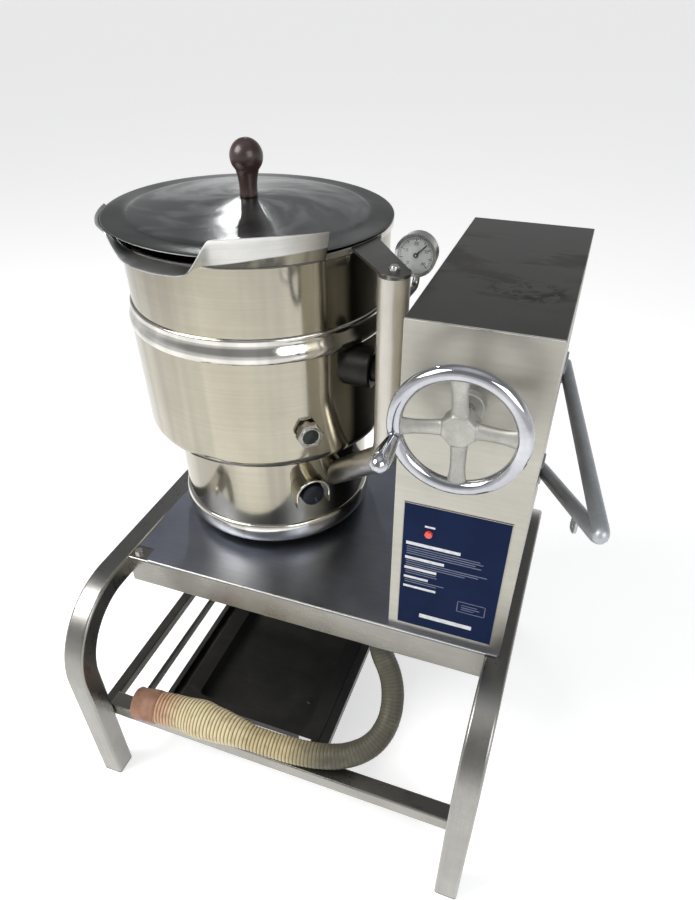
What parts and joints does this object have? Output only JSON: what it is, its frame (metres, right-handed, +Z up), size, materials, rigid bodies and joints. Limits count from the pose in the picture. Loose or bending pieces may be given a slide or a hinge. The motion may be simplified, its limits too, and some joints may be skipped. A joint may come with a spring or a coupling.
{
  "type": "steam jacketed kettle",
  "caption": "Tilting steam jacketed kettle with lid, pouring lip, hand-cranked console, tubular stand, drain pan and drain hose.",
  "frame": {"origin": "on the floor, under the middle of the unit's overall box", "axes": "+Z up; -Y towards the pouring lip and the handwheel; +X towards the console side"},
  "size_m": [0.9976, 0.82, 1.3277],
  "materials": {
    "polished_steel": "mirror-polished stainless",
    "brushed_steel": "brushed stainless",
    "frame_steel": "satin stainless",
    "dark_steel": "worn stainless, dark",
    "pan_steel": "stained dark sheet",
    "chrome": "polished chrome",
    "cast_metal": "rough cast, satin",
    "bracket_grey": "matte steel tube",
    "label_blue": "dark blue, semi-gloss",
    "red_lens": "red lens",
    "knob_brown": "dark brown, glossy",
    "black_plastic": "black",
    "hose_plastic": "ribbed, beige",
    "cuff_rubber": "terracotta",
    "brass": "satin",
    "steel": "machined",
    "dial_white": "white face",
    "needle_black": "black",
    "clear_glass": "clear",
    "dark_glass": "dark"
  },
  "bodies": {
    "stand": {"left_side_frame": "frame_steel", "right_side_frame": "frame_steel", "leg_feet": "black_plastic", "front_rail": "frame_steel", "rear_rail": "frame_steel", "deck_plate": "frame_steel", "frame_bolts": "brushed_steel", "front_stretcher": "frame_steel", "rear_stretcher": "frame_steel", "low_rails": "frame_steel", "left_slide": "frame_steel", "right_slide": "frame_steel", "drain_spigot": "brass", "drain_hose": "hose_plastic", "hose_sleeve": "hose_plastic", "hose_cuff": "cuff_rubber", "console_front": "brushed_steel", "console_back": "brushed_steel", "console_left": "brushed_steel", "console_right": "brushed_steel", "console_top": "dark_steel", "label_panel": "label_blue", "indicator_lens": "red_lens", "worm_bush": "brass", "gear_bracket": "cast_metal", "trunnion_bearings": "steel", "bracket_arm": "bracket_grey", "bracket_strut": "bracket_grey"},
    "kettle": {"bowl_wall": "polished_steel", "bowl_bottom": "polished_steel", "rim_ring": "polished_steel", "pouring_lip": "brushed_steel", "jacket_band": "polished_steel", "jacket_shell": "polished_steel", "base_skirt": "polished_steel", "base_ring": "brushed_steel", "sight_glass_bezel": "polished_steel", "sight_glass": "dark_glass", "knob_guard": "polished_steel", "side_tube": "polished_steel", "tube_strap": "dark_steel", "strap_bolt": "polished_steel", "gauge_case": "steel", "gauge_dial": "dial_white", "gauge_lens": "clear_glass", "safety_valve": "brass", "trunnion_boss": "brushed_steel", "trunnion_shaft": "steel", "worm_wheel": "brass"},
    "handwheel": {"worm_shaft": "chrome", "handwheel_rim": "chrome", "handwheel_spider": "cast_metal", "handle_stud": "chrome"},
    "turning_handle": {"handle_grip": "chrome"},
    "lid": {"lid": "dark_steel", "lid_knob": "knob_brown"},
    "thermostat_knob": {"thermostat_knob": "black_plastic"},
    "gauge_needle": {"gauge_needle": "needle_black"},
    "valve_lever": {"safety_valve_lever": "steel"},
    "drain_pan": {"drain_pan": "pan_steel"}
  },
  "joints": [
    {"name": "kettle_tilt", "type": "hinge", "parent": "stand", "child": "kettle", "pos_m": [0.0748, 0.029, 0.985], "axis": [1, 0, 0], "range_deg": [0, 90]},
    {"name": "handwheel_turn", "type": "hinge", "parent": "stand", "child": "handwheel", "pos_m": [0.2608, -0.247, 1.066], "axis": [0, 1, 0], "range_deg": [0, 3600]},
    {"name": "handle_spin", "type": "hinge", "parent": "handwheel", "child": "turning_handle", "pos_m": [0.1728, -0.305, 1.044], "axis": [0, 1, 0], "continuous": true},
    {"name": "lid_lift", "type": "slide", "parent": "kettle", "child": "lid", "axis": [0, 0, 1], "range_m": [0, 0.25]},
    {"name": "thermostat_turn", "type": "hinge", "parent": "kettle", "child": "thermostat_knob", "pos_m": [-0.07176, -0.02058, 0.709], "axis": [0.6884, -0.7254, 0], "range_deg": [0, 270]},
    {"name": "needle_swing", "type": "hinge", "parent": "kettle", "child": "gauge_needle", "pos_m": [0.1108, 0.0435, 1.192], "axis": [0, 1, 0], "range_deg": [-180, 90], "stiffness_Nm_per_rad": 0.001},
    {"name": "valve_lever_lift", "type": "hinge", "parent": "kettle", "child": "valve_lever", "pos_m": [-0.05408, 0.36484, 1.025], "axis": [0.5736, 0.8192, 0], "range_deg": [0, 25]},
    {"name": "drain_pan_pull", "type": "slide", "parent": "stand", "child": "drain_pan", "axis": [0, -1, 0], "range_m": [0, 0.4]}
  ],
  "couplings": [
    {"joint": "handwheel_turn", "follows": "kettle_tilt", "ratio": 40}
  ]
}
